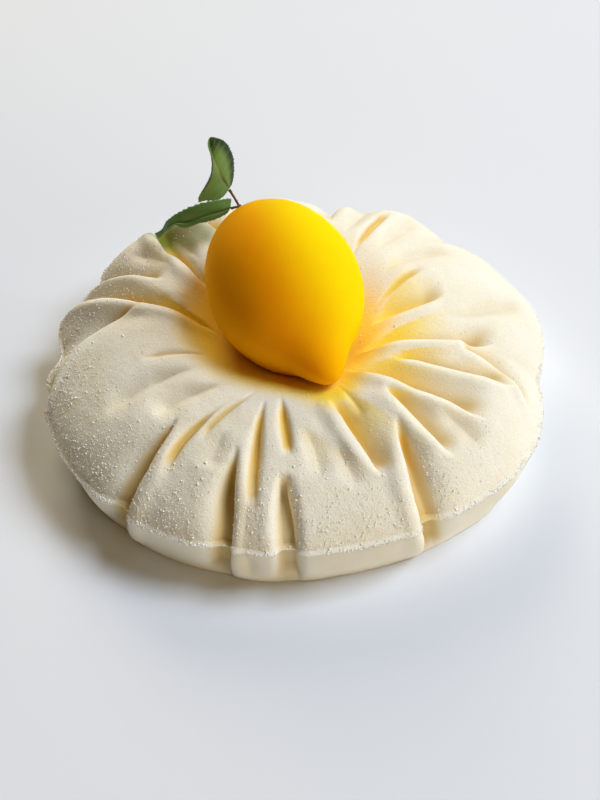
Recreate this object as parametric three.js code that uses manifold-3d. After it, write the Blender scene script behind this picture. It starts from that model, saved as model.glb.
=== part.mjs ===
// An entremet: a pleated cushion of white mousse, a moulded lemon on top and two leaves on its twig.
// Millimetres, +Z up, the origin at the middle of the flat underside. The front faces -Y.
// Angles on the cushion are in degrees seen from above, from +X towards +Y.

import * as THREE from 'three';
import { mergeVertices } from 'three/addons/utils/BufferGeometryUtils.js';
import Module from 'manifold-3d';

// The cushion's side, from the hollow under the lemon over the crest and the rim to the base
const RIM_RADIUS = 90;
const RIM_HEIGHT = 20.5;
const BASE_RADIUS = 84.3;
const CREST_RADIUS = 44;
const CREST_HEIGHT = 46;
const HOLLOW_HEIGHT = 35;
const HOLLOW_STEEPNESS = 1.3;
const SHOULDER_ROUNDNESS = 1.6;
const BAND_TUCK = 1.6;

// The raised line round the rim, where the two halves of the mould met
const BEAD_HEIGHT = 0.7;
const BEAD_WIDTH = 1.1;
const BEAD_FILLS_FOLDS = 0.35;

// The kinds of fold at full strength: a narrow cut in a wider dip, each with its half width
const GATHER = { cut: 2.6, slit: 3.6, dip: 5.0, spread: 8.5 };
const PLEAT = { cut: 2.0, slit: 2.8, dip: 3.2, spread: 7 };
const TUCK = { cut: 2.6, slit: 2.0, dip: 1.4, spread: 4.2 };
const RIPPLE = { cut: 0.5, slit: 2.2, dip: 1.9, spread: 6 };
const NARROW_SLIT = 0.9;
const NARROW_SHARE = 0.35;
const DIP_SQUARENESS = 1.7;
const TO_BASE = 120;

// How a fold grows, in shares of its length, and how it fades on the rim and at the base
const OPENS_OVER = 0.45;
const LONG_FOLD_OPENS_OVER = 0.16;
const WIDENS_OVER = 0.6;
const CLOSES_FROM = 0.7;
const STRAIGHT_UNTIL = RIM_RADIUS + 8;
const DIP_FADES_FROM = 78;
const RIM_FADE = 0.35;
const BASE_FADES_FROM = 103;
const BASE_FADE = 0.9;

// Folds that reach the base drift away from the front on the band, by up to this angle at the sides
const FRONT = 270;
const BAND_DRIFT = 7.5;

// The mousse swells on both sides of a fold: share of its depth, place and width in its spreads.
// A fold with a slow side is wider there by the lean, and narrower on its steep side.
const FOLD_RISE = 0.1;
const RISE_PLACE = 1.9;
const RISE_WIDTH = 0.9;
const RISE_FADES_FROM = 74;
const LEAN = 0.4;

// The cloth-like folds run together at this point in front of the middle
const GATHER_X = 0;
const GATHER_Y = -18;
const GATHER_REACH = 26;

// Each fold: kind, angle at its inner and outer end, how far its middle bends off the line between
// them, reach of both ends, strength, side of the slow rise (1 away from +X, -1 towards it, 0 both).
// The reach is the radius on top and goes on down the band, so that TO_BASE crosses the rim.
const FOLDS = [
  [RIPPLE, 28.7, 32.1, 2.7, 36.8, 73, 1.0, 0],
  [RIPPLE, 43, 43, 0, 64, 104, 1.2, 0],
  [RIPPLE, 44.7, 53.5, 1.2, 44.7, 85.2, 1.0, 0],
  [TUCK, 52, 60.1, 0.1, 34.8, 78.4, 1.0, 0],
  [RIPPLE, 64.2, 69.8, -1.2, 44.8, 90.4, 0.8, 0],
  [PLEAT, 75.5, 75.5, 0, 58, 104, 1.2, 1],
  [GATHER, 92, 96, 0, 36, 100, 0.8, 1],
  [RIPPLE, 106, 105, 0, 46, 84, 1.2, 0],
  [GATHER, 120, 116, 0, 40, 100, 0.75, -1],
  [RIPPLE, 140.3, 125.9, -1.5, 40.7, 86.6, 1.1, 0],
  [RIPPLE, 149.7, 140.4, -3, 48.6, 82.2, 1.3, 0],
  [GATHER, 152, 122.8, 2.8, 31.7, 94.6, 0.9, -1],
  [PLEAT, 153.4, 151.8, -1.4, 50.8, TO_BASE, 1.2, -1],
  [GATHER, 170.1, 200.7, -6.3, 53.5, TO_BASE, 1.1, -1],
  [GATHER, 192.9, 159.8, -2.9, 26.4, TO_BASE, 1.2, -1],
  [TUCK, 216.8, 201.3, -2.5, 34.3, 56.8, 0.45, 0],
  [RIPPLE, 221.6, 211.1, -3.3, 40.4, 76, 1.0, 0],
  [GATHER, 230.2, 229.5, 1.4, 60.1, TO_BASE, 0.95, -1],
  [RIPPLE, 238.6, 224.6, -5.9, 40.8, 66.3, 1.0, 0],
  [RIPPLE, 246.7, 246.8, -0.4, 58.1, 73.5, 0.8, 0],
  [TUCK, 242.7, 236.4, -2.8, 49.3, 79, 0.9, 0],
  [GATHER, 251.6, 254.1, 1.4, 62.2, TO_BASE, 1.0, -1],
  [TUCK, 257, 259.1, 0.4, 44.3, 83.1, 1.1, 0],
  [TUCK, 263.6, 267.5, 0.6, 42.8, 66.1, 1.0, 0],
  [PLEAT, 265.2, 266.9, 0.5, 69.7, TO_BASE, 1.5, 1],
  [RIPPLE, 271.3, 275.1, 2, 53.4, 73.6, 0.55, 1],
  [RIPPLE, 281.8, 284.8, -0.4, 60.4, 78.2, 0.5, 1],
  [PLEAT, 285, 292, -0.6, 45.2, 76.3, 1.0, 1],
  [TUCK, 289.7, 293.7, 1.2, 41.7, 55.7, 0.3, 0],
  [GATHER, 303.3, 297.2, -2.4, 58.8, TO_BASE, 1.0, 1],
  [PLEAT, 300.6, 324.1, 0.9, 33.6, 78.7, 1.1, 1],
  [PLEAT, 306.9, 310.4, -1.3, 48.4, 80.6, 0.75, 1],
  [RIPPLE, 315.1, 316.1, 1.3, 64, 83, 0.9, 0],
  [PLEAT, 323.3, 339.5, -1.7, 40.6, 81.5, 0.95, 1],
  [PLEAT, 319.9, 353.9, -1, 29.9, 73.6, 1.2, 1],
  [PLEAT, 342.4, 334.3, 4.6, 58.6, 90, 0.8, 1],
  [RIPPLE, 350, 350, 0, 74, 100, 0.5, 0],
  [RIPPLE, 355.4, 370.2, 0.7, 51.3, 87.5, 1.1, 0],
  [PLEAT, 353.7, 369.3, -4.1, 28.4, 54.7, 0.6, 1],
  [TUCK, 367.7, 384.9, 0.9, 28.1, 53.3, 0.7, 0],
  [TUCK, 253.4, 241.1, -3.9, 41.1, 66.2, 0.6, 0],
];

// Broad unevenness of the rim: angle, half width in degrees, how far it stands out
const SWELLS_START = 30;
const SWELLS_FULL = 86;
const SWELLS = [
  [13, 7, 1.1],
  [46, 12, -2.0],
  [57.5, 6, 1.8],
  [73, 7, -3.0],
  [136, 16, 1.6],
  [149, 8, -2.4],
  [174, 6, -4.5],
  [180, 24, -1.2],
  [280, 16, -1.5],
  [325, 14, 1.9],
  [350, 11, -3.0],
];

// Rows and columns of the cushion's faces
const COLUMNS = 200;
const HOLLOW_ROWS = 5;
const SHOULDER_ROWS = 17;
const BAND_ROWS = 4;

// The lemon: an egg of revolution with a broad nipple, lying with its tip to the front right
const LEMON_RADIUS = 26.1;
const LEMON_HALF_LENGTH = 33.3;
const LEMON_CENTRE = new THREE.Vector3(-2.6, -2.8, 59);
const LEMON_TURN = 20.8;
const LEMON_DIP = 11;
const NIPPLE_LENGTH = 9.1;
const NIPPLE_SPREAD = 0.235;
const STEM_END_LENGTH = 1.5;
const STEM_END_SPREAD = 0.3;
const LEMON_ROWS = 26;
const LEMON_COLUMNS = 36;

// Gap between pieces that touch
const GAP = 0.3;

// The twig behind the lemon: a stub that forks into the two leaf stalks
const TWIG_FORK = new THREE.Vector3(-17.2, 33.4, 65.6);
const UPRIGHT_BASE = new THREE.Vector3(-20.7, 38, 70.6);
const DROOPING_BASE = new THREE.Vector3(-20.4, 38, 62.3);
const STUB_RADIUS = 1.1;
const STALK_RADIUS = 0.5;
const TWIG_SIDES = 5;
const TWIG_STEPS = 5;

// Leaf blades, each by its midrib and its two edges from the stalk to the tip
const BLADE_THICKNESS = 0.5;
const BLADE_BULGE = 0.8;
const UP_AND_FORWARD = new THREE.Vector3(0, -1, 1).normalize();
const BLADE_STEPS = 18;
const BLADE_STRIPS = 6;

const UPRIGHT_LEAF = {
  rib: [[-21.1, 38.1, 71.5], [-22, 37.9, 74], [-23.2, 37.2, 77.4], [-24.3, 36.8, 81.4], [-25.5, 36.8, 84.9],
    [-26.1, 37.2, 88], [-26.3, 37.7, 90.5], [-25.9, 38, 92.8]],
  left: [[-21.5, 37.8, 71.1], [-22.3, 36.8, 70], [-24, 34.5, 69.3], [-27.2, 32.8, 70], [-29.9, 32, 70.6],
    [-31.4, 31.6, 70.4], [-31.1, 31.8, 72.9], [-29.1, 32.6, 74.6], [-27, 33.4, 77.4], [-26, 34, 79.9],
    [-25.3, 35.2, 84.7], [-26, 35.8, 87.3], [-26.8, 36.6, 90.1], [-26, 38, 93.1]],
  right: [[-20.8, 38.5, 71.7], [-19.8, 40, 72.4], [-19, 41.2, 73.9], [-18.6, 42, 77.4], [-18.7, 42.3, 81.5],
    [-19.4, 41.9, 84.8], [-20.4, 41.2, 87.8], [-21.7, 40.3, 90], [-23.3, 39.4, 91.6], [-25.9, 38.1, 93.1]],
};

const DROOPING_LEAF = {
  rib: [[-21.2, 38.5, 62], [-24, 40, 59.7], [-27.8, 41.6, 57.4], [-32, 43, 55], [-36.3, 44.6, 51.9],
    [-39.8, 45.8, 50.6], [-42.9, 47, 49.2], [-46.2, 48.6, 46], [-50.2, 50.5, 42.4]],
  left: [[-21.3, 38.1, 61.5], [-22.4, 37.9, 60.1], [-26, 38.6, 57.4], [-29.8, 40, 55.1], [-33.2, 41.3, 53.4],
    [-36, 42.4, 51.4], [-38.5, 43.4, 50.1], [-41.8, 45.2, 50.3], [-43.9, 46.2, 47.8], [-46.3, 47.6, 45],
    [-50.4, 50.3, 42.1]],
  right: [[-21.1, 39.2, 62.6], [-21.2, 42.8, 62.8], [-23.9, 44, 61.9], [-26.9, 45, 60.9], [-32.9, 46.4, 58.5],
    [-39.2, 48.2, 54.5], [-43.2, 49.4, 51], [-46.9, 50.4, 45.6], [-50.7, 51.2, 42.1]],
};

const COLOURS = { mousse: '#f4ecd4', lemon: '#f7b500', leaf: '#4a6e34', twig: '#6b3a28' };

const wasm = await Module();
wasm.setup();

// Helpers

function smooth(low, high, value) {
  return THREE.MathUtils.smoothstep(value, low, high);
}

function bell(value, width) {
  return Math.exp(-((value / width) ** 2));
}

function degreesBetween(angle, centre) {
  return THREE.MathUtils.euclideanModulo(angle - centre + 180, 360) - 180;
}

function bare(geometry) {
  // Only the places of the corners, each corner once, and no face without area
  const copy = geometry.clone();
  copy.deleteAttribute('normal');
  copy.deleteAttribute('uv');
  const merged = mergeVertices(copy);
  const corners = Array.from(merged.index.array);
  const kept = [];
  for (let i = 0; i < corners.length; i += 3) {
    const [a, b, c] = corners.slice(i, i + 3);
    if (a !== b && b !== c && c !== a) kept.push(a, b, c);
  }
  merged.setIndex(kept);
  return merged;
}

function toSolid(geometry) {
  const merged = bare(geometry);
  return new wasm.Manifold(new wasm.Mesh({
    numProp: 3,
    vertProperties: new Float32Array(merged.attributes.position.array),
    triVerts: new Uint32Array(merged.index.array),
  }));
}

function toGeometry(solid) {
  const mesh = solid.getMesh();
  const geometry = new THREE.BufferGeometry();
  geometry.setAttribute('position', new THREE.BufferAttribute(mesh.vertProperties, 3));
  geometry.setIndex(new THREE.BufferAttribute(mesh.triVerts, 1));
  geometry.computeVertexNormals();
  return geometry;
}

function named(name, geometry, color, roughness) {
  const material = new THREE.MeshStandardMaterial({ color, roughness, metalness: 0 });
  const mesh = new THREE.Mesh(geometry, material);
  mesh.name = name;
  return mesh;
}

// The cushion

function hollowPoint(t) {
  const lift = 0.5 - 0.5 * Math.cos(Math.PI * t ** HOLLOW_STEEPNESS);
  const z = HOLLOW_HEIGHT + (CREST_HEIGHT - HOLLOW_HEIGHT) * lift;
  return { r: CREST_RADIUS * t, z, reach: CREST_RADIUS * t };
}

function shoulderPoint(t) {
  const turn = t * Math.PI / 2;
  const out = Math.sin(turn) ** (2 / SHOULDER_ROUNDNESS);
  const up = Math.max(Math.cos(turn), 0) ** (2 / SHOULDER_ROUNDNESS);
  const r = CREST_RADIUS + (RIM_RADIUS - CREST_RADIUS) * out;
  return { r, z: RIM_HEIGHT + (CREST_HEIGHT - RIM_HEIGHT) * up, reach: r };
}

function bandPoint(t) {
  const r = RIM_RADIUS + (BASE_RADIUS - RIM_RADIUS) * t ** BAND_TUCK;
  return { r, z: RIM_HEIGHT * (1 - t), reach: RIM_RADIUS + RIM_HEIGHT * t };
}

function sidePoint(place) {
  // 0 to 1 is the hollow, 1 to 2 the shoulder and 2 to 3 the band under the rim
  if (place <= 1) return hollowPoint(Math.max(place, 0));
  if (place <= 2) return shoulderPoint(place - 1);
  return bandPoint(Math.min(place - 2, 1));
}

function sideRow(place) {
  const step = 1e-3;
  const before = sidePoint(place - step);
  const after = sidePoint(place + step);
  const run = after.r - before.r;
  const fall = before.z - after.z;
  const length = Math.hypot(run, fall);
  return { ...sidePoint(place), outR: fall / length, outZ: run / length };
}

function columnThrough(angle, radius) {
  // The rim angle of the column of faces that passes through a place on the cushion
  const reached = Math.max(radius, GATHER_REACH);
  const turn = THREE.MathUtils.degToRad(angle);
  const runX = reached * Math.cos(turn) - GATHER_X;
  const runY = reached * Math.sin(turn) - GATHER_Y;
  return alongRay(runX, runY, RIM_RADIUS);
}

function columnAngle(rimAngle, radius) {
  // A column of faces is straight from the gathering point to the rim
  const turn = THREE.MathUtils.degToRad(rimAngle);
  const runX = RIM_RADIUS * Math.cos(turn) - GATHER_X;
  const runY = RIM_RADIUS * Math.sin(turn) - GATHER_Y;
  return alongRay(runX, runY, THREE.MathUtils.clamp(radius, GATHER_REACH, RIM_RADIUS));
}

function alongRay(runX, runY, radius) {
  // The angle where a ray from the gathering point is at a distance from the cushion's middle
  const a = runX ** 2 + runY ** 2;
  const b = GATHER_X * runX + GATHER_Y * runY;
  const c = GATHER_X ** 2 + GATHER_Y ** 2 - radius ** 2;
  const share = (Math.sqrt(b ** 2 - a * c) - b) / a;
  return THREE.MathUtils.radToDeg(Math.atan2(GATHER_Y + share * runY, GATHER_X + share * runX));
}

function foldCentre(fold, reach, radius) {
  const [, innerAngle, outerAngle, bend, inner, outer] = fold;
  const toRim = THREE.MathUtils.clamp((reach - inner) / (Math.min(outer, STRAIGHT_UNTIL) - inner), 0, 1);
  const first = columnThrough(innerAngle, inner);
  const last = columnThrough(outerAngle, Math.min(outer, RIM_RADIUS));
  const column = first + degreesBetween(last, first) * toRim + 4 * bend * toRim * (1 - toRim);
  const aside = Math.sin(THREE.MathUtils.degToRad(outerAngle - FRONT));
  const onBand = outer === TO_BASE ? THREE.MathUtils.clamp((reach - RIM_RADIUS) / RIM_HEIGHT, 0, 1) : 0;
  return columnAngle(column, radius) + BAND_DRIFT * aside * onBand;
}

function foldDepth(fold, reach, radius, angle) {
  const [kind, , , , inner, outer, strength, side] = fold;
  const along = (reach - inner) / (outer - inner);
  if (along <= 0 || along > 1) return 0;
  const centre = foldCentre(fold, reach, radius);
  const aside = THREE.MathUtils.degToRad(degreesBetween(angle, centre)) * radius;
  const grown = smooth(0, WIDENS_OVER, (reach - inner) / (Math.min(outer, STRAIGHT_UNTIL) - inner));
  const runsOut = outer === TO_BASE;
  const opening = smooth(0, runsOut ? LONG_FOLD_OPENS_OVER : OPENS_OVER, along);
  const closing = runsOut ? 1 : 1 - smooth(CLOSES_FROM, 1, along);
  const atBead = outer > RIM_RADIUS ? bell(reach - RIM_RADIUS, 2 * BEAD_WIDTH) : 0;
  const spread = kind.spread * (NARROW_SHARE + (1 - NARROW_SHARE) * grown);
  const sideSpread = spread * (aside > 0 ? 1 + LEAN * side : 1 - LEAN * side);
  const slit = NARROW_SLIT + (kind.slit - NARROW_SLIT) * grown;
  const nearRim = 1 - RIM_FADE * smooth(DIP_FADES_FROM, RIM_RADIUS, reach);
  const dip = kind.dip * nearRim * Math.exp(-(Math.abs(aside / sideSpread) ** DIP_SQUARENESS));
  const cut = kind.cut * bell(aside, slit);
  const riseHere = FOLD_RISE * (kind.dip + kind.cut / 2) * (1 - smooth(RISE_FADES_FROM, RIM_RADIUS, reach));
  const rise = riseHere * bell(Math.abs(aside) - RISE_PLACE * sideSpread, RISE_WIDTH * sideSpread);
  const nearBase = 1 - BASE_FADE * smooth(BASE_FADES_FROM, RIM_RADIUS + RIM_HEIGHT, reach);
  const kept = (1 - BEAD_FILLS_FOLDS * atBead) * nearBase;
  return strength * opening * closing * kept * (dip + cut - rise);
}

function outwardShift(row, angle) {
  let shift = BEAD_HEIGHT * bell(row.reach - RIM_RADIUS, BEAD_WIDTH);
  const fromHollow = smooth(SWELLS_START, SWELLS_FULL, row.reach);
  for (const [centre, width, out] of SWELLS) {
    shift += out * fromHollow * bell(degreesBetween(angle, centre), width);
  }
  for (const fold of FOLDS) {
    shift -= foldDepth(fold, row.reach, row.r, angle);
  }
  return shift;
}

function cushionPoint(row, column) {
  const angle = columnAngle(column * 360 / COLUMNS, row.reach);
  const turn = THREE.MathUtils.degToRad(angle);
  const shift = outwardShift(row, angle);
  const radius = row.r + row.outR * shift;
  const z = row.z === 0 ? 0 : row.z + row.outZ * shift;
  return new THREE.Vector3(radius * Math.cos(turn), radius * Math.sin(turn), z);
}

function cutsCloser(corners, middle) {
  // Whether the first diagonal of four corners passes the true surface closer than the second
  const first = corners[0].clone().lerp(corners[2], 0.5);
  const second = corners[1].clone().lerp(corners[3], 0.5);
  return first.distanceTo(middle) < second.distanceTo(middle);
}

function cushionGeometry() {
  const places = [];
  for (let i = 1; i <= HOLLOW_ROWS; i += 1) places.push(i / HOLLOW_ROWS);
  for (let i = 1; i <= SHOULDER_ROWS; i += 1) places.push(1 + i / SHOULDER_ROWS);
  for (let i = 1; i <= BAND_ROWS; i += 1) places.push(2 + i / BAND_ROWS);
  const points = [];
  for (const place of places) {
    const row = sideRow(place);
    for (let column = 0; column < COLUMNS; column += 1) points.push(cushionPoint(row, column));
  }
  const top = points.push(new THREE.Vector3(0, 0, HOLLOW_HEIGHT)) - 1;
  const bottom = points.push(new THREE.Vector3(0, 0, 0)) - 1;
  const lastRow = (places.length - 1) * COLUMNS;
  const faces = [];
  for (let column = 0; column < COLUMNS; column += 1) {
    const next = (column + 1) % COLUMNS;
    faces.push(top, column, next, bottom, lastRow + next, lastRow + column);
    for (let i = 0; i < places.length - 1; i += 1) {
      const [a, b] = [i * COLUMNS + column, (i + 1) * COLUMNS + column];
      const [c, d] = [(i + 1) * COLUMNS + next, i * COLUMNS + next];
      const middle = cushionPoint(sideRow((places[i] + places[i + 1]) / 2), column + 0.5);
      const alongFirst = cutsCloser([points[a], points[b], points[c], points[d]], middle);
      faces.push(...(alongFirst ? [a, b, c, a, c, d] : [a, b, d, b, c, d]));
    }
  }
  const geometry = new THREE.BufferGeometry();
  geometry.setFromPoints(points);
  geometry.setIndex(faces);
  return geometry;
}

// The lemon

function lemonGeometry(extra) {
  const outline = [];
  for (let i = 0; i <= LEMON_ROWS; i += 1) {
    const fromTip = Math.PI * (1 - i / LEMON_ROWS);
    const egg = LEMON_HALF_LENGTH * LEMON_RADIUS
      / Math.hypot(LEMON_RADIUS * Math.cos(fromTip), LEMON_HALF_LENGTH * Math.sin(fromTip));
    const nipple = NIPPLE_LENGTH * bell(fromTip, NIPPLE_SPREAD);
    const stemEnd = STEM_END_LENGTH * bell(Math.PI - fromTip, STEM_END_SPREAD);
    const reach = egg + nipple + stemEnd + extra;
    const onAxis = i === 0 || i === LEMON_ROWS;
    outline.push(new THREE.Vector2(onAxis ? 0 : reach * Math.sin(fromTip), reach * Math.cos(fromTip)));
  }
  return new THREE.LatheGeometry(outline, LEMON_COLUMNS);
}

function lemonAxis() {
  const turn = THREE.MathUtils.degToRad(LEMON_TURN);
  const dip = THREE.MathUtils.degToRad(LEMON_DIP);
  return new THREE.Vector3(
    Math.sin(turn) * Math.cos(dip),
    -Math.cos(turn) * Math.cos(dip),
    -Math.sin(dip),
  );
}

function lieOnCushion(object) {
  object.position.copy(LEMON_CENTRE);
  object.quaternion.setFromUnitVectors(new THREE.Vector3(0, 1, 0), lemonAxis());
  object.updateMatrix();
  return object;
}

function nestedCushion() {
  const nest = lieOnCushion(new THREE.Object3D());
  const press = lemonGeometry(GAP).applyMatrix4(nest.matrix);
  return toGeometry(toSolid(cushionGeometry()).subtract(toSolid(press)));
}

// The twig

function stalk(from, to, radius, bend) {
  const middle = from.clone().lerp(to, 0.5).add(bend);
  const path = new THREE.CatmullRomCurve3([from, middle, to]);
  const section = new THREE.Shape();
  section.absarc(0, 0, radius, 0, 2 * Math.PI, false);
  return new THREE.ExtrudeGeometry(section, {
    steps: TWIG_STEPS, curveSegments: TWIG_SIDES, extrudePath: path,
  });
}

function twigGeometry() {
  const axis = lemonAxis();
  const stemLength = LEMON_HALF_LENGTH + STEM_END_LENGTH + GAP;
  const start = LEMON_CENTRE.clone().addScaledVector(axis, -stemLength);
  const forkEnd = TWIG_FORK.clone().addScaledVector(axis, -STUB_RADIUS);
  const none = new THREE.Vector3();
  const stub = toSolid(stalk(start, forkEnd, STUB_RADIUS, none));
  const up = toSolid(stalk(TWIG_FORK, UPRIGHT_BASE, STALK_RADIUS, new THREE.Vector3(0.4, 0.4, -0.8)));
  const down = toSolid(stalk(TWIG_FORK, DROOPING_BASE, STALK_RADIUS, new THREE.Vector3(0.3, 0.3, 0.3)));
  return toGeometry(stub.add(up).add(down));
}

// The leaves

function curveThrough(points) {
  return new THREE.CatmullRomCurve3(points.map((point) => new THREE.Vector3(...point)));
}

function bladePoint(blade, along, across) {
  const rib = blade.rib.getPoint(along);
  const edge = (across < 0 ? blade.left : blade.right).getPoint(along);
  const share = Math.abs(across);
  const lift = BLADE_BULGE * Math.sin(Math.PI * share) * Math.sin(Math.PI * along);
  return rib.lerp(edge, share).addScaledVector(UP_AND_FORWARD, lift);
}

function bladeNormal(blade, along, across) {
  const step = 1 / BLADE_STEPS;
  const ahead = bladePoint(blade, Math.min(along + step, 1), across);
  const behind = bladePoint(blade, Math.max(along - step, 0), across);
  const right = bladePoint(blade, along, Math.min(across + step, 1));
  const left = bladePoint(blade, along, Math.max(across - step, -1));
  return ahead.sub(behind).cross(right.sub(left)).normalize();
}

function bladeGeometry(shape) {
  const blade = {
    rib: curveThrough(shape.rib),
    left: curveThrough(shape.left),
    right: curveThrough(shape.right),
  };
  const corners = [];
  for (const face of [1, -1]) {
    for (let i = 0; i <= BLADE_STEPS; i += 1) {
      for (let j = 0; j <= BLADE_STRIPS; j += 1) {
        const along = i / BLADE_STEPS;
        const across = (2 * j) / BLADE_STRIPS - 1;
        const point = bladePoint(blade, along, across);
        point.addScaledVector(bladeNormal(blade, along, across), face * BLADE_THICKNESS / 2);
        corners.push(...point.toArray());
      }
    }
  }
  const width = BLADE_STRIPS + 1;
  const under = width * (BLADE_STEPS + 1);
  const faces = [];
  for (let i = 0; i < BLADE_STEPS; i += 1) {
    for (let j = 0; j < BLADE_STRIPS; j += 1) {
      const a = i * width + j;
      const b = a + width;
      faces.push(a, b, a + 1, b, b + 1, a + 1);
      faces.push(under + a, under + a + 1, under + b, under + b, under + a + 1, under + b + 1);
    }
  }
  const wall = (from, to) => faces.push(to, from, under + from, to, under + from, under + to);
  for (let i = 0; i < BLADE_STEPS; i += 1) {
    wall(i * width, (i + 1) * width);
    wall((i + 1) * width + BLADE_STRIPS, i * width + BLADE_STRIPS);
  }
  for (let j = 0; j < BLADE_STRIPS; j += 1) {
    wall(j + 1, j);
    wall(BLADE_STEPS * width + j, BLADE_STEPS * width + j + 1);
  }
  const geometry = new THREE.BufferGeometry();
  geometry.setAttribute('position', new THREE.Float32BufferAttribute(corners, 3));
  geometry.setIndex(faces);
  geometry.computeVertexNormals();
  return geometry;
}

// The whole cake

const entremet = new THREE.Group();
entremet.add(named('mousse_cushion', nestedCushion(), COLOURS.mousse, 0.9));
entremet.add(lieOnCushion(named('lemon', lemonGeometry(0), COLOURS.lemon, 0.6)));
entremet.add(named('twig', twigGeometry(), COLOURS.twig, 0.7));
entremet.add(named('leaf_upright', bladeGeometry(UPRIGHT_LEAF), COLOURS.leaf, 0.5));
entremet.add(named('leaf_drooping', bladeGeometry(DROOPING_LEAF), COLOURS.leaf, 0.5));

export default entremet;
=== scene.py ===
import math

import bpy
import numpy as np
from bpy.props import FloatProperty, FloatVectorProperty, IntProperty, PointerProperty
from mathutils import Matrix, Vector


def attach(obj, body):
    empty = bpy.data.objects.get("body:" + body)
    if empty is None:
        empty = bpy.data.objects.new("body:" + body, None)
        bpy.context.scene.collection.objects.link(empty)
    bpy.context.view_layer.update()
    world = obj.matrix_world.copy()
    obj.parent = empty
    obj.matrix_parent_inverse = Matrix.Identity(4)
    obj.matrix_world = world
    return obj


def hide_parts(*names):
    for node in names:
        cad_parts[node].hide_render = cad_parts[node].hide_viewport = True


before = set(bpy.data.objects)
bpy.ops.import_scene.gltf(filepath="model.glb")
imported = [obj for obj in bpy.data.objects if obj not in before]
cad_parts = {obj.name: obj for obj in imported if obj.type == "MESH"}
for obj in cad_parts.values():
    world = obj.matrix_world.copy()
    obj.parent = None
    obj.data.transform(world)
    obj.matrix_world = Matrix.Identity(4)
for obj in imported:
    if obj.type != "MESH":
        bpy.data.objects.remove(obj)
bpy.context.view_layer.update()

bl_info = {
    "name": "Entremet",
    "version": (1, 0, 0),
    "blender": (4, 5, 0),
    "location": "View3D > Sidebar > Entremet",
    "description": "Dresses a pleated mousse cake, its moulded lemon and its leaves",
    "category": "Add Mesh",
}

MM_PER_METRE = 1000
TINY = 1e-9

# Points of the random lattice on each side, before it repeats
LATTICE = 32

# The camera, fitted to the cake's rim and base: millimetres and degrees
CAMERA_ELEVATION = 44.5
CAMERA_DISTANCE = 554.5
CAMERA_AIM = (1.3, 1.7, 0.0)
CAMERA_ROLL = -2.4
CAMERA_LENS = 67.2
CAMERA_CLIP = 0.01

# The lights: metres, and degrees from +X towards +Y and above the floor
LIGHT_DISTANCE = 2.5
LIGHT_SIZE = 1.2
WINDOW_PLACE = (1, 53)
BACK_WINDOW_PLACE = (103, 30)
REFLECTOR_PLACE = (-45, 12)

# Colours of the lights and of the dim warm room
WINDOW_COLOUR = "#e6f0ff"
BACK_WINDOW_COLOUR = "#fff2d8"
REFLECTOR_COLOUR = "#ffe6bd"
ROOM_COLOUR = "#ffd27a"

# Half the floor's width, in millimetres
FLOOR_HALF = 3000.0

# Colours that go with those in the settings: heavy spray, the leaf at its darkest and below, bark streaks
PALE_SPRAY = "#fbf8ec"
LEAF_DARK = "#0e2404"
LEAF_UNDERSIDE = "#5f7d4c"
BARK_STREAK = "#8a4a2c"

# The cushion's side, from the hollow under the lemon over the crest and the rim to the base
RIM_RADIUS = 90.0
RIM_HEIGHT = 20.5
BASE_RADIUS = 84.3
CREST_RADIUS = 44.0
CREST_HEIGHT = 46.0
HOLLOW_HEIGHT = 35.0
HOLLOW_STEEPNESS = 1.3
SHOULDER_ROUNDNESS = 1.6
BAND_TUCK = 1.6

# The raised line round the rim, where the two halves of the mould met
BEAD_HEIGHT = 1.2
BEAD_WIDTH = 0.85
BEAD_FILLS_FOLDS = 0.35
BEAD_FILLS_WIDTH = 1.2 * BEAD_WIDTH

# Kinds of fold. In order: depth, width of the steep wall, of the floor and of the slow rise on the other
# side, how sharply that rise meets the floor (1 is a crease, 2 a soft hollow), how little spray reached
# the floor, its width at its start and the length over which it deepens as shares, how tan the bare
# mousse in it is, and how much of a lip it has
MEASURES = ("deep", "wall", "floor", "ramp", "crease", "bare", "start", "opens", "tan", "lip")
GATHER = dict(zip(MEASURES, (8.0, 1.0, 3.8, 4.2, 1.4, 1.0, 0.15, 0.26, 0.0, 1.0)))
PLEAT = dict(zip(MEASURES, (8.2, 1.2, 1.6, 6.0, 1.2, 0.9, 0.5, 0.25, 0.85, 1.0)))
TUCK = dict(zip(MEASURES, (3.6, 1.0, 1.2, 1.4, 1.4, 0.9, 0.35, 0.45, 0.0, 1.0)))
TROUGH = dict(zip(MEASURES, (8.5, 1.6, 4.6, 2.2, 1.6, 0.7, 0.4, 0.14, 1.0, 0.0)))
RIPPLE = dict(zip(MEASURES, (3.0, 3.6, 0.0, 4.4, 1.5, 0.2, 0.35, 0.45, 1.0, 1.0)))

# How sharply a steep wall meets the floor, the most that the folds sink together, the share of its full
# opening at which a fold is as bare as it gets, the shares of its depth over which that fades in, the
# least bareness that counts, and the end that marks a fold as running down to the base
WALL_STEEPNESS = 1.8
DEEPEST = 11.0
BARE_WHEN_OPEN = 0.6
BARE_FROM = (0.2, 0.85)
LEAST_BARE = 1e-3
TO_BASE = 120

# How a fold grows, in shares of its length, and how it fades on the rim and at the base
WIDENS_OVER = 0.6
CLOSES_FROM = 0.7
STRAIGHT_UNTIL = RIM_RADIUS + 8
RIM_FADES_FROM = 78
RIM_FADE = 0.35
BASE_FADES_FROM = 103
BASE_FADE = 0.9

# Creases turn to wide, paler slots from here to here
SLOTS_FROM = (66, 82)

# Folds that reach the base drift away from the front on the band, by up to this angle at the sides
FRONT = 270
BAND_DRIFT = 7.5

# The mousse swells over a fold's steep wall: share of its depth, distance from the wall and width
LIP_RISE = 0.2
LIP_PLACE = 3.6
LIP_WIDTH = 3.0
LIP_LEAN = 0.2
LIP_LEAN_PLACE = 1.1
LIP_LEAN_WIDTH = 1.2

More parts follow.
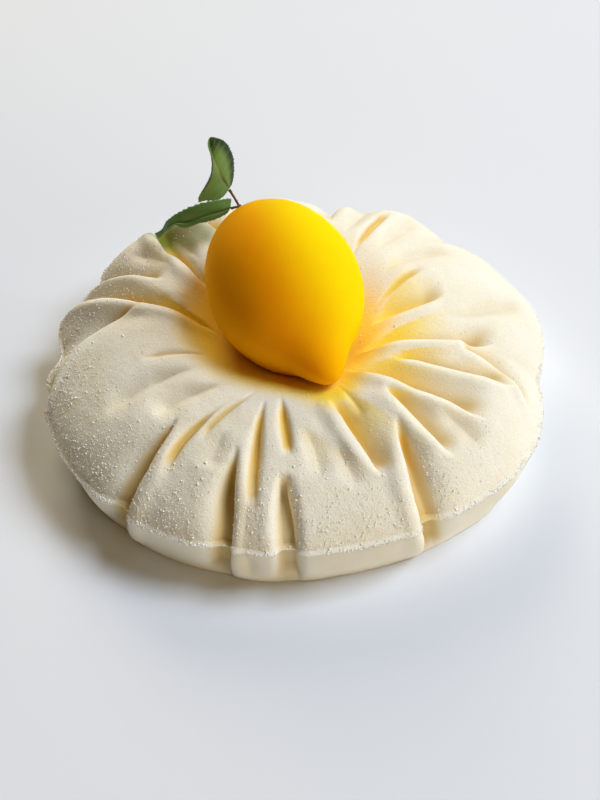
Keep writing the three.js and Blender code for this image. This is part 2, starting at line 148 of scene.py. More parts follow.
# The cloth-like folds run together at this point in front of the middle
GATHER_POINT = np.array([0.0, -18.0])
GATHER_REACH = 26.0

# Each fold: kind, angle at its inner and outer end, how far its middle bends off the line between
# them, reach of both ends, strength, side of the slow rise (1 at greater angles, -1 at smaller, 0 both).
# The reach is the radius on top and goes on down the band.
FOLDS = [
    (RIPPLE, 28.7, 32.1, 2.7, 36.8, 73, 1.0, 0),
    (RIPPLE, 43, 43, 0, 64, 104, 1.2, 0),
    (RIPPLE, 44.7, 53.5, 1.2, 44.7, 85.2, 1.0, 0),
    (TUCK, 52, 60.1, 0.1, 34.8, 78.4, 0.7, 0),
    (RIPPLE, 64.2, 69.8, -1.2, 44.8, 90.4, 0.8, 0),
    (PLEAT, 75.5, 75.5, 0, 58, 104, 1.2, 1),
    (GATHER, 92, 96, 0, 36, 100, 0.8, 1),
    (RIPPLE, 106, 105, 0, 46, 84, 1.2, 0),
    (GATHER, 120, 116, 0, 40, 100, 0.75, -1),
    (RIPPLE, 140.3, 125.9, -1.5, 40.7, 86.6, 1.1, 0),
    (RIPPLE, 149.7, 140.4, -3, 48.6, 82.2, 1.3, 0),
    (GATHER, 152, 122.8, 2.8, 31.7, 94.6, 0.9, -1),
    (PLEAT, 153.4, 151.8, -1.4, 50.8, TO_BASE, 1.2, -1),
    (GATHER, 170.1, 200.7, -6.3, 53.5, TO_BASE, 1.1, -1),
    (GATHER, 192.9, 159.8, -2.9, 26.4, TO_BASE, 1.2, -1),
    (TUCK, 216.8, 201.3, -2.5, 34.3, 56.8, 0.3, 0),
    (RIPPLE, 221.6, 211.1, -3.3, 40.4, 76, 1.0, 0),
    (GATHER, 230.2, 229.5, 1.4, 60.1, TO_BASE, 0.95, -1),
    (RIPPLE, 238.6, 224.6, -5.9, 40.8, 66.3, 1.0, 0),
    (RIPPLE, 246.7, 246.8, -0.4, 58.1, 73.5, 0.4, 0),
    (TUCK, 242.7, 236.4, -2.8, 49.3, 79, 0.7, 0),
    (GATHER, 251.6, 254.1, 1.4, 62.2, TO_BASE, 0.85, -1),
    (TUCK, 257, 259.1, 0.4, 44.3, 83.1, 1.0, 0),
    (TUCK, 263.6, 267.5, 0.6, 42.8, 66.1, 0.75, 0),
    (TROUGH, 265.8, 267.6, 0.5, 69.7, TO_BASE, 0.95, -1),
    (RIPPLE, 257.5, 258.3, 0, 70, 108, 1.1, 0),
    (RIPPLE, 271.3, 275.1, 2, 53.4, 73.6, 0.55, 1),
    (RIPPLE, 281.8, 284.8, -0.4, 60.4, 78.2, 0.5, 1),
    (PLEAT, 285, 292, -0.6, 45.2, 76.3, 1.0, 1),
    (TUCK, 289.7, 293.7, 1.2, 41.7, 55.7, 0.3, 0),
    (GATHER, 303.3, 297.2, -3.3, 58.8, TO_BASE, 1.0, 1),
    (PLEAT, 300.6, 324.1, 0.9, 33, 78.7, 1.1, 1),
    (PLEAT, 306.9, 310.4, -1.3, 48.4, 80.6, 0.75, 1),
    (RIPPLE, 315.1, 316.1, 1.3, 64, 83, 0.9, 0),
    (PLEAT, 323.3, 339.5, -1.7, 40.6, 81.5, 0.95, 1),
    (PLEAT, 319.9, 353.9, -1, 28.5, 73.6, 1.2, 1),
    (PLEAT, 342.4, 334.3, 4.6, 58.6, 90, 0.8, 1),
    (RIPPLE, 350, 350, 0, 74, 100, 0.5, 0),
    (RIPPLE, 355.4, 370.2, 0.7, 51.3, 87.5, 1.1, 0),
    (PLEAT, 353.7, 369.3, -4.1, 28.4, 54.7, 0.6, 1),
    (TUCK, 367.7, 384.9, 0.9, 28.1, 53.3, 0.55, 0),
    (TUCK, 253.4, 241.1, -3.9, 41.1, 66.2, 0.4, 0),
]

# Broad unevenness of the rim: angle, half width in degrees, how far it stands out
SWELLS_START = 30
SWELLS_FULL = 86
SWELLS = [
    (13, 7, 1.1),
    (46, 12, -2.0),
    (57.5, 6, 1.8),
    (73, 7, -3.0),
    (136, 16, 1.6),
    (152, 8, -3.2),
    (174, 6, -4.5),
    (180, 24, -1.2),
    (280, 16, -1.5),
    (325, 14, 1.9),
    (350, 11, -3.0),
]

# Unevenness of the sprayed mousse: size of the lumps and their height, how much more of the largest lie
# on the band, and the share of the finer ones that is left where no spray landed
LUMPS = [(14.0, 0.35), (4.5, 0.12), (1.3, 0.06)]
BAND_LUMPS = 1.2
BAND_LUMPS_FROM = (RIM_RADIUS, RIM_RADIUS + 4)
SMOOTH_SHARE = 0.25

# The spray thins out just under the rim
SPRAY_ENDS = (RIM_RADIUS + 0.5, RIM_RADIUS + 3)

# How far the lemon's yellow reaches on the mousse, which is yellow overspray and also painted light
# bounced off the lemon: in front of it, how much more at its sides, and in the folds at its sides, with
# their depth, and the angle and half width of each side. It is full over the first third of that.
OVERSPRAY_AND_BOUNCE_REACH = 13.0
OVERSPRAY_AND_BOUNCE_SIDEWAYS = 5.0
OVERSPRAY_AND_BOUNCE_IN_FOLDS = 36.0
OVERSPRAY_AND_BOUNCE_FOLD_DEPTH = (0.1, 0.7)
OVERSPRAY_AND_BOUNCE_SIDES = [(338, 60), (176, 16)]

# The way the coarse grains came from: the front left and above
SPRAY_FROM = np.array([-0.6, -0.6, 0.5])

# Where the coarse grains lie: size of the denser patches and how many grains lie between them, the share
# on the crest against that near the rim, how square the surface stands to their way, how many more there
# are on the rim's raised line, and how far off the lemon they start
GRAIN_PATCHES = 18.0
GRAINS_BETWEEN = 0.3
GRAINS_ON_CREST = 0.02
GRAINS_LOWER = (CREST_HEIGHT, RIM_HEIGHT + 4)
GRAINS_FACING = (0.3, 0.9)
GRAINS_ON_BEAD = 2.5
GRAINS_OFF_LEMON = 3.0

# The grains themselves: size, how much larger the big ones are and their share, how uneven one is, how
# far it strays from its place and how much of its size it stands out
GRAIN_SIZE = (0.16, 0.32)
BIG_GRAINS_LARGER = 0.6
BIG_GRAINS = 0.12
GRAIN_STRETCH = (0.75, 1.25)
GRAIN_STRAY = 0.25
GRAIN_STANDS_OUT = 0.2

# The low leaf's green shade on the mousse, from under its tip to under its stalk end, full over the first
# quarter of its width, and how much weaker it is at the stalk end
LEAF_SHADE_FROM = np.array([-50.0, 66.0, 29.0])
LEAF_SHADE_TO = np.array([-33.0, 47.0, 43.0])
LEAF_SHADE_WIDTH = 14.0
LEAF_SHADE_FADE = 0.35

# Rows and columns of the cushion's faces
COLUMNS = 1300
COLUMNS_CROWD = 2.5
CROWDED_WITHIN = 2.5
HOLLOW_ROWS = 26
SHOULDER_ROWS = 100
BAND_ROWS = 36
BAND_ROWS_CROWD = 1.5
FINE_ANGLES = 7200
PLACES_ON_FOLD = 9

# The lemon: an egg of revolution with a broad nipple, lying with its tip to the front right
LEMON_RADIUS = 26.1
LEMON_HALF_LENGTH = 33.3
LEMON_CENTRE = np.array([-2.6, -2.8, 59.0])
LEMON_TURN = 20.8
LEMON_DIP = 11.0
NIPPLE_LENGTH = 9.1
NIPPLE_SPREAD = 0.235
STEM_END_LENGTH = 1.5
STEM_END_SPREAD = 0.3
LEMON_LUMPS = [(16.0, 0.25), (5.0, 0.05)]

# Painted light on the lemon: yellower where it faces the window, to the right and above, and a painted
# orange glow underneath for the light the mousse throws back up: the way each lies and where it fades
# in, as the share of that way in the surface's own
PAINTED_LIT_WAY = np.array([0.93, 0.2, 0.3])
PAINTED_LIT_FROM = (-0.2, 0.72)
PAINTED_UNDERSIDE_FROM = (-0.1, 0.6)

LEMON_ROWS = 200
LEMON_COLUMNS = 240

# The nest pressed into the mousse: its gap to the lemon and the halvings of the search for its height
NEST_GAP = 0.1
NEST_HALVINGS = 30

# The twig behind the lemon: a stub that forks into the two leaf stalks, how thick their ends are as a
# share, how far each stalk bows, the knobs on them, and a way that none of them runs
TWIG_FORK = (-17.2, 33.4, 65.6)
UPRIGHT_BASE = (-20.7, 38.0, 70.6)
DROOPING_BASE = (-20.4, 38.0, 62.3)
STUB_RADIUS = 1.0
STUB_SUNK = 0.2
STALK_RADIUS = 0.42
STUB_SWELLS = 0.95
STALK_SWELLS = 1.3
UPRIGHT_BOW = (0.4, 0.4, -0.8)
DROOPING_BOW = (0.3, 0.3, 0.3)
KNOB_SIZE = 0.9
KNOB_HEIGHT = 0.06
ACROSS_TUBES = (0.3, 0.2, 0.93)
TWIG_SIDES = 16
TWIG_RINGS = 40

# Leaf blades, each by its midrib and its two edges from the stalk to the tip, and by its painted light
# and shade: how light its left and right half are painted, and how much painted shade darkens its right
# margin and its tip
BLADE_BULGE = 0.8
UP_AND_FORWARD = np.array([0, -1, 1]) / 2 ** 0.5
BLADE_STEPS = 120
BLADE_STRIPS = 40

UPRIGHT_LEAF = {
    "painted_tone": (0.6, 0.7, 1.0, 1.0),
    "rib": [
        (-20.8, 38.1, 70.9), (-22, 37.9, 74), (-23.2, 37.2, 77.4), (-24.3, 36.8, 81.4),
        (-25.5, 36.8, 84.9), (-26.1, 37.2, 88), (-26.3, 37.7, 90.5), (-25.9, 38, 92.8),
    ],
    "left": [
        (-20.9, 38, 70.7), (-21.8, 37, 69.9), (-24, 34.5, 69.3), (-27.2, 32.8, 70), (-29.9, 32, 70.6),
        (-31.4, 31.6, 70.4), (-31.1, 31.8, 72.9), (-29.1, 32.6, 74.6), (-27, 33.4, 77.4), (-26, 34, 79.9),
        (-25.5, 34.6, 82.6), (-25.3, 35.2, 84.7), (-26, 35.8, 87.3), (-26.8, 36.6, 90.1),
        (-26.7, 37.4, 92), (-26, 38, 93.1),
    ],
    "right": [
        (-20.6, 38.3, 70.9), (-19.6, 40, 71.9), (-19, 41.2, 73.9), (-18.6, 42, 77.4), (-18.7, 42.3, 81.5),
        (-19.4, 41.9, 84.8), (-20.4, 41.2, 87.8), (-21.7, 40.3, 90), (-23.3, 39.4, 91.6),
        (-24.9, 38.6, 92.7), (-25.9, 38.1, 93.1),
    ],
}

DROOPING_LEAF = {
    "painted_tone": (0.85, 1.0, 0.3, 0.3),
    "rib": [
        (-20.8, 38.4, 62.3), (-24, 40, 59.7), (-27.8, 41.6, 57.4), (-32, 43, 55), (-36.3, 44.6, 51.9),
        (-39.8, 45.8, 50.6), (-42.9, 47, 49.2), (-46.2, 48.6, 46), (-50.2, 50.5, 42.4),
    ],
    "left": [
        (-21.1, 38, 61.8), (-22.2, 37.8, 60.2), (-26, 38.6, 57.4), (-29.8, 40, 55.1), (-33.2, 41.3, 53.4),
        (-36, 42.4, 51.4), (-38.5, 43.4, 50.1), (-40.2, 44.3, 50.1), (-41.8, 45.2, 50.3),
        (-43.9, 46.2, 47.8), (-46.3, 47.6, 45), (-49.1, 49.2, 41.5), (-50.4, 50.3, 42.1),
    ],
    "right": [
        (-20.7, 38.8, 63), (-20.7, 42.8, 63), (-23.9, 44, 61.9), (-26.9, 45, 60.9), (-32.9, 46.4, 58.5),
        (-39.2, 48.2, 54.5), (-43.2, 49.4, 51), (-45.7, 50, 48.2), (-46.9, 50.4, 45.6),
        (-48.4, 50.8, 43.5), (-50.7, 51.2, 42.1),
    ],
}

# Marks on a blade, across it as shares of its half width and along it as shares of its length: where
# the teeth start, the midrib, the side veins with their slant, and where the painted shade on its margin
# and its tip sets in
TEETH_FROM = (0.9, 1.0)
RIB_WIDTH = 0.55 / 6
VEIN_SLANT = 1.2
VEIN_WIDTH = 0.12
VEIN_STARTS = (0.0, 0.12)
VEIN_ENDS = (0.75, 1.0)
PAINTED_MARGIN_FROM = (0.45, 0.85)
PAINTED_TIP_FROM = (0.5, 0.8)
PAINTED_TIP_SIDE = (-0.7, 0.0)
STALK_FADES = (0.1, 0.4)

# How deep the midrib and the veins are sunk, in millimetres, how light they are, and how much thinner
# a blade is at its edge and at its two ends
RIB_DEEP = 0.18
VEIN_DEEP = 0.07
RIB_LIGHT = 0.7
VEIN_LIGHT = 0.25
EDGE_THINNER = 0.6
END_THIN = 0.25
END_SHARE = 1 / 12

# Colour and noise helpers

def linear(colour):
    """An sRGB hex value as linear red, green and blue."""
    parts = [int(colour[i:i + 2], 16) / 255 for i in (1, 3, 5)]
    return tuple(c / 12.92 if c <= 0.04045 else ((c + 0.055) / 1.055) ** 2.4 for c in parts)


def smooth(low, high, value):
    """0 below low, 1 above high, and a soft step between."""
    share = np.clip((value - low) / (high - low), 0, 1)
    return share * share * (3 - 2 * share)


def bell(value, width):
    """A bell curve of the value, 1 at its middle."""
    return np.exp(-(value / width) ** 2)


def uneven(points, size, seed):
    """Soft random lumps of one size at the points, from -1 to 1."""
    table = np.random.default_rng(seed).uniform(-1, 1, [LATTICE] * 3)
    cell = points / size
    low = np.floor(cell).astype(int)
    share = cell - low
    share = share * share * (3 - 2 * share)
    total = np.zeros(points.shape[:-1])
    for corner in np.ndindex(2, 2, 2):
        weight = np.ones(total.shape)
        for axis in range(3):
            weight = weight * (share[..., axis] if corner[axis] else 1 - share[..., axis])
        at = (low + corner) % LATTICE
        total += weight * table[at[..., 0], at[..., 1], at[..., 2]]
    return total


# Mesh helpers

def add_mesh(name, points, faces, material, **fields):
    """A smooth mesh object from points in millimetres, with one number for each point in each field."""
    mesh = bpy.data.meshes.new(name)
    mesh.from_pydata((np.asarray(points).reshape(-1, 3) / MM_PER_METRE).tolist(), [], faces)
    mesh.polygons.foreach_set("use_smooth", [True] * len(mesh.polygons))
    for field, values in fields.items():
        layer = mesh.attributes.new(field, "FLOAT", "POINT")
        layer.data.foreach_set("value", np.asarray(values, np.float32).ravel())
    mesh.materials.append(material)
    mesh.update()
    piece = bpy.data.objects.new(name, mesh)
    bpy.context.scene.collection.objects.link(piece)
    return piece


def read_all(items, name, width=1, kind=float):
    """One value of all the faces, corners or points of a mesh, by item where it is more than one number."""
    values = np.zeros(len(items) * width, kind)
    items.foreach_get(name, values)
    return values.reshape(-1, width) if width > 1 else values


def ring_faces(rows, columns, first=0):
    """Quads between rows of points that each close to a ring."""
    start = first + np.arange(rows - 1)[:, None] * columns
    here = np.arange(columns)[None, :]
    after = (here + 1) % columns
    quads = np.stack([start + here, start + columns + here, start + columns + after, start + after], -1)
    return quads.reshape(-1, 4).tolist()


def fan_faces(centre, first, columns, turned=False):
    """Triangles from a centre point to a ring of points."""
    faces = [(centre, first + i, first + (i + 1) % columns) for i in range(columns)]
    return [face[::-1] for face in faces] if turned else faces


def closed_rings(rings, ends, first=0):
    """Points and faces of rings of points, each end of them closed by a fan to an end point."""
    rows, columns = rings.shape[:2]
    end = first + rows * columns
    faces = ring_faces(rows, columns, first)
    faces += fan_faces(end, first, columns)
    faces += fan_faces(end + 1, end - columns, columns, turned=True)
    return np.vstack([rings.reshape(-1, 3), ends]), faces


def curve_through(points, shares):
    """Places on a centripetal Catmull-Rom curve through the points, at shares of its run."""
    fixed = np.array(points, float)
    fixed = np.vstack([2 * fixed[0] - fixed[1], fixed, 2 * fixed[-1] - fixed[-2]])
    places = []
    for share in np.atleast_1d(shares):
        run = min(share, 1 - TINY) * (len(points) - 1)
        i = int(run)
        p = fixed[i:i + 4]
        knots = [max(np.linalg.norm(p[k + 1] - p[k]) ** 0.5, TINY) for k in range(3)]
        start = (p[1] - p[0]) / knots[0] - (p[2] - p[0]) / (knots[0] + knots[1]) + (p[2] - p[1]) / knots[1]
        end = (p[2] - p[1]) / knots[1] - (p[3] - p[1]) / (knots[1] + knots[2]) + (p[3] - p[2]) / knots[2]
        start = start * knots[1]
        end = end * knots[1]
        t = run - i
        places.append(
            p[1] + start * t
            + (-3 * p[1] + 3 * p[2] - 2 * start - end) * t * t
            + (2 * p[1] - 2 * p[2] + start + end) * t ** 3
        )
    return np.array(places)


# Node helpers

# Places of a colour mix's sockets, whose names are used more than once
MIX_FACTOR, MIX_FIRST, MIX_SECOND, MIX_RESULT = 0, 6, 7, 2


def add_node(tree, kind, inputs=None, **settings):
    """Adds a node with its settings. An input takes a value, which is three numbers for a colour, or the
    output socket of another node."""
    node = tree.nodes.new(kind)
    for name, value in settings.items():
        setattr(node, name, value)
    for name, value in (inputs or {}).items():
        socket = node.inputs[name]
        if isinstance(value, bpy.types.NodeSocket):
            tree.links.new(value, socket)
        else:
            socket.default_value = (*value, 1) if socket.type == "RGBA" else value
    return node


def new_material(name):
    """An empty material and its node tree."""
    material = bpy.data.materials.new(name)
    material.use_nodes = True
    material.node_tree.nodes.clear()
    return material, material.node_tree


def finish_material(tree, inputs, height=None, strength=1.0, distance=0.0):
    """Adds the surface with its inputs, bumped by a height where one is given, and the output."""
    if height is not None:
        bump = {"Strength": strength, "Distance": distance, "Height": height}
        inputs = {**inputs, "Normal": add_node(tree, "ShaderNodeBump", bump).outputs["Normal"]}
    shader = add_node(tree, "ShaderNodeBsdfPrincipled", inputs)
    add_node(tree, "ShaderNodeOutputMaterial", {"Surface": shader.outputs["BSDF"]})


def mesh_fields(tree, *names):
    """The outputs that read the mesh's fields of these names."""
    return [add_node(tree, "ShaderNodeAttribute", attribute_name=name).outputs["Fac"] for name in names]


def mix_colours(tree, share, first, second):
    """A colour between two colours, each a value or a socket."""
    inputs = {MIX_FACTOR: share, MIX_FIRST: first, MIX_SECOND: second}
    return add_node(tree, "ShaderNodeMix", inputs, data_type="RGBA").outputs[MIX_RESULT]


def multiply(tree, first, second):
    """The product of two numbers, each a value or a socket."""
    return add_node(tree, "ShaderNodeMath", {0: first, 1: second}, operation="MULTIPLY").outputs[0]


def noise(tree, scale, detail, roughness=0.5):
    """Soft random spots from 0 to 1, this many of them in a metre of the object."""
    at = add_node(tree, "ShaderNodeTexCoord").outputs["Object"]
    inputs = {"Vector": at, "Scale": scale, "Detail": detail, "Roughness": roughness}
    return add_node(tree, "ShaderNodeTexNoise", inputs).outputs["Fac"]


# The cushion's form

def side_place(place):
    """Radius, height and reach at a place: 0 to 1 is the hollow, 1 to 2 the shoulder, 2 to 3 the band."""
    inner = np.clip(place, 0, 1)
    lift = 0.5 - 0.5 * np.cos(np.pi * inner ** HOLLOW_STEEPNESS)
    radius = CREST_RADIUS * inner
    height = HOLLOW_HEIGHT + (CREST_HEIGHT - HOLLOW_HEIGHT) * lift
    turn = np.clip(place - 1, 0, 1) * np.pi / 2
    power = 2 / SHOULDER_ROUNDNESS
    out = np.sin(turn) ** power
    up = np.clip(np.cos(turn), 0, 1) ** power
    on_shoulder = place > 1
    radius = np.where(on_shoulder, CREST_RADIUS + (RIM_RADIUS - CREST_RADIUS) * out, radius)
    height = np.where(on_shoulder, RIM_HEIGHT + (CREST_HEIGHT - RIM_HEIGHT) * up, height)
    down = np.clip(place - 2, 0, 1)
    on_band = place > 2
    radius = np.where(on_band, RIM_RADIUS + (BASE_RADIUS - RIM_RADIUS) * down ** BAND_TUCK, radius)
    height = np.where(on_band, RIM_HEIGHT * (1 - down), height)
    reach = np.where(on_band, RIM_RADIUS + RIM_HEIGHT * down, radius)
    return radius, height, reach


def side_direction(place):
    """The way out of the surface at a place, as its share along the radius and upwards."""
    step = 1e-3
    radius_before, height_before, _ = side_place(place - step)
    radius_after, height_after, _ = side_place(place + step)
    run = radius_after - radius_before
    fall = height_before - height_after
    length = np.hypot(run, fall)
    return fall / length, run / length


def degrees_between(angle, centre):
    """How far the angle is past the centre, from -180 to 180."""
    return (angle - centre + 180) % 360 - 180


def fold_columns(fold, share):
    """The rim angle of the column of faces that a fold lies on, at a share of its way to the rim."""
    _, inner_angle, outer_angle, bend, inner, outer, *_ = fold
    first = column_through(inner_angle, inner)
    last = column_through(outer_angle, min(outer, RIM_RADIUS))
    return first + degrees_between(last, first) * share + 4 * bend * share * (1 - share)


def fold_shape(fold, reach, radius, height_here, angle):
    """How deep one fold is at each point, how bare of spray that is, and how far its lip leans over."""
    kind, _, outer_angle, _, inner, outer, strength, side = fold
    along = (reach - inner) / (outer - inner)
    to_rim = (reach - inner) / (min(outer, STRAIGHT_UNTIL) - inner)
    centre = column_angle(fold_columns(fold, np.clip(to_rim, 0, 1)), radius)
    runs_out = outer == TO_BASE
    if runs_out:
        on_band = np.clip((reach - RIM_RADIUS) / RIM_HEIGHT, 0, 1)
        centre = centre + BAND_DRIFT * math.sin(math.radians(outer_angle - FRONT)) * on_band
    aside = np.radians(degrees_between(angle, centre)) * radius * (side if side else 1)
    opening = smooth(0, kind["opens"], along)
    closing = 1 if runs_out else 1 - smooth(CLOSES_FROM, 1, along)
    at_bead = bell(height_here - RIM_HEIGHT, BEAD_FILLS_WIDTH)
    near_rim = 1 - RIM_FADE * smooth(RIM_FADES_FROM, RIM_RADIUS, reach)
    near_base = 1 - BASE_FADE * smooth(BASE_FADES_FROM, RIM_RADIUS + RIM_HEIGHT, reach)
    height = strength * opening * closing * near_rim * near_base * (1 - BEAD_FILLS_FOLDS * at_bead)
    grown = kind["start"] + (1 - kind["start"]) * smooth(0, WIDENS_OVER, to_rim)
    floor = kind["floor"] * grown / 2 * min(strength, 1)
    wall = kind["wall"] * (1 if side else kind["ramp"] / kind["wall"])
    past_wall = np.maximum(-floor - aside, 0) / (wall * (1 if side else grown))
    up_ramp = np.maximum(aside - floor, 0) / (kind["ramp"] * grown)
    steep = np.exp(-past_wall ** (WALL_STEEPNESS if side else kind["crease"]))
    slow = np.exp(-up_ramp ** kind["crease"])
    share = np.where(aside < 0, steep, slow)
    lip = kind["lip"] * LIP_RISE * bell(aside + floor + LIP_PLACE, LIP_WIDTH) if side else 0
    inside = height * (along > 0)
    depth = inside * kind["deep"] * (share - lip)
    lean = inside * kind["deep"] * LIP_LEAN * bell(aside + floor + LIP_LEAN_PLACE, LIP_LEAN_WIDTH) * side
    bare = kind["bare"] * smooth(*BARE_FROM, share) * smooth(0.0, BARE_WHEN_OPEN, inside)
    tan = bare * np.maximum(kind["tan"], smooth(*SLOTS_FROM, reach))
    return depth, bare, tan, lean


def follow_column(angle, radius, reached):
    """The angle at which the column of faces through a place has reached another radius."""
    turn = np.radians(angle)
    run_x = radius * np.cos(turn) - GATHER_POINT[0]
    run_y = radius * np.sin(turn) - GATHER_POINT[1]
    a = run_x ** 2 + run_y ** 2
    b = GATHER_POINT[0] * run_x + GATHER_POINT[1] * run_y
    c = GATHER_POINT @ GATHER_POINT - reached ** 2
    share = (np.sqrt(b ** 2 - a * c) - b) / a
    return np.degrees(np.arctan2(GATHER_POINT[1] + share * run_y, GATHER_POINT[0] + share * run_x))


def column_through(angle, radius):
    """The rim angle of the column of faces that passes through a place on the cushion."""
    return follow_column(angle, max(radius, GATHER_REACH), RIM_RADIUS)


def column_angle(rim_angle, radius):
    """The angle of a column of faces, which runs straight from the gathering point to the rim."""
    return follow_column(rim_angle, RIM_RADIUS, np.clip(radius, GATHER_REACH, RIM_RADIUS))


def column_rim_angles():
    """Rim angles of all columns, which stand closer together along the folds."""
    fine = np.linspace(0, 360, FINE_ANGLES, endpoint=False)
    crowd = np.ones(fine.shape)
    for fold in FOLDS:
        run = fold_columns(fold, np.linspace(0, 1, PLACES_ON_FOLD))
        middle = (run.max() + run.min()) / 2
        half = (run.max() - run.min()) / 2
        beyond = np.abs(degrees_between(fine, middle)) - half
        crowd = np.maximum(crowd, 1 + COLUMNS_CROWD * (1 - smooth(0, CROWDED_WITHIN, beyond)))
    passed = np.concatenate([[0], np.cumsum(crowd)])
    share = np.linspace(0, passed[-1], COLUMNS, endpoint=False)
    return np.interp(share, passed, np.append(fine, 360))


def lemon_axis():
    """The way the lemon's tip points."""
    turn, dip = math.radians(LEMON_TURN), math.radians(LEMON_DIP)
    return np.array([math.sin(turn) * math.cos(dip), -math.cos(turn) * math.cos(dip), -math.sin(dip)])


def lemon_reach(from_tip):
    """Distance from the lemon's centre to its skin, by the angle from its tip."""
    egg = LEMON_HALF_LENGTH * LEMON_RADIUS / np.hypot(
        LEMON_RADIUS * np.cos(from_tip), LEMON_HALF_LENGTH * np.sin(from_tip))
    nipple = NIPPLE_LENGTH * bell(from_tip, NIPPLE_SPREAD)
    stem_end = STEM_END_LENGTH * bell(np.pi - from_tip, STEM_END_SPREAD)
    return egg + nipple + stem_end


def lemon_distance(points):
    """Rough distance from each point to the lemon's skin, below 0 inside it."""
    away = points - LEMON_CENTRE
    length = np.linalg.norm(away, axis=-1)
    from_tip = np.arccos(np.clip(away @ lemon_axis() / np.maximum(length, TINY), -1, 1))
    return length - lemon_reach(from_tip)


def press_nest(points):
    """Lowers what would be inside the lemon to just under its skin."""
    inside = lemon_distance(points) < NEST_GAP
    pressed = points[inside]
    low = pressed[:, 2] - 2 * LEMON_RADIUS
    high = pressed[:, 2].copy()
    for _ in range(NEST_HALVINGS):
        middle = (low + high) / 2
        trial = np.column_stack([pressed[:, :2], middle])
        touching = lemon_distance(trial) < NEST_GAP
        high = np.where(touching, middle, high)
        low = np.where(touching, low, middle)
    points[inside, 2] = low
    return points


def leaf_shade(points):
    """How much green shade of the low leaf falls on each point, most in the fold under its tip."""
    run = LEAF_SHADE_TO - LEAF_SHADE_FROM
    share = np.clip((points - LEAF_SHADE_FROM) @ run / (run @ run), 0, 1)
    away = np.linalg.norm(points - LEAF_SHADE_FROM - share[..., None] * run, axis=-1)
    return (1 - LEAF_SHADE_FADE * share) * (1 - smooth(LEAF_SHADE_WIDTH / 4, LEAF_SHADE_WIDTH, away))


def cushion_form():
    """The cushion's points by row and column, with the fields that colour and grain it."""
    hollow = np.linspace(0, 1, HOLLOW_ROWS + 1)[1:]
    shoulder = 1 + np.linspace(0, 1, SHOULDER_ROWS + 1)[1:]
    band = 2 + np.linspace(0, 1, BAND_ROWS + 1)[1:] ** BAND_ROWS_CROWD
    place = np.concatenate([hollow, shoulder, band])[:, None]
    rim_angle = column_rim_angles()[None, :]
    radius, height, reach = side_place(place)
    out_r, out_z = side_direction(place)
    angle = column_angle(rim_angle, radius)
    bead = bell(height - RIM_HEIGHT, BEAD_WIDTH) + 0 * angle
    shift = BEAD_HEIGHT * bead
    from_hollow = smooth(SWELLS_START, SWELLS_FULL, reach)
    for centre, width, out in SWELLS:
        shift = shift + out * from_hollow * bell(degrees_between(angle, centre), width)
    depth, bare, tan, lean = np.zeros((4, *angle.shape))
    for fold in FOLDS:
        fold_depth, fold_bare, fold_tan, fold_lean = fold_shape(fold, reach, radius, height, angle)
        depth += fold_depth
        bare = np.maximum(bare, fold_bare)
        tan = np.maximum(tan, fold_tan)
        lean += fold_lean
    depth = np.where(depth > 0, DEEPEST * np.tanh(depth / DEEPEST), depth)
    turn = np.radians(angle) + lean / np.maximum(radius, 1)
    shift = shift - depth

    def placed(shift):
        across = radius + out_r * shift
        points = np.stack([across * np.cos(turn), across * np.sin(turn), height + out_z * shift], -1)
        points[..., 2] = np.where(height > 0, np.maximum(points[..., 2], 0), 0)
        return points

    points = placed(shift)
    exposed = 1 - bare
    sprayed = exposed * (1 - smooth(*SPRAY_ENDS, reach))
    on_band = 1 + BAND_LUMPS * smooth(*BAND_LUMPS_FROM, reach)
    on_spray = SMOOTH_SHARE + (1 - SMOOTH_SHARE) * sprayed
    for i, (size, rise) in enumerate(LUMPS):
        shift = shift + rise * (on_spray if i else on_band) * uneven(points, size, seed=10 + i)
    points = placed(shift)
    # Yellow overspray and painted bounce light from the lemon, strongest in the folds at its sides
    off_lemon = np.maximum(lemon_distance(points), 0)
    valley = smooth(*OVERSPRAY_AND_BOUNCE_FOLD_DEPTH, depth)
    on_side = sum(bell(degrees_between(angle, side), width) for side, width in OVERSPRAY_AND_BOUNCE_SIDES)
    halo_reach = OVERSPRAY_AND_BOUNCE_REACH + OVERSPRAY_AND_BOUNCE_SIDEWAYS * np.cos(turn) ** 2
    halo = 1 - smooth(halo_reach / 3, halo_reach, off_lemon)
    in_folds = 1 - smooth(OVERSPRAY_AND_BOUNCE_IN_FOLDS / 3, OVERSPRAY_AND_BOUNCE_IN_FOLDS, off_lemon)
    fields = {
        "crease": bare,
        "slot": tan / np.maximum(bare, LEAST_BARE),
        "sprayed": sprayed,
        "near_lemon": np.maximum(halo, valley * np.minimum(on_side, 1) * in_folds),
        "bead": exposed * bead,
        "under_leaf": leaf_shade(points),
    }
    return press_nest(points.reshape(-1, 3)).reshape(points.shape), fields


# Materials

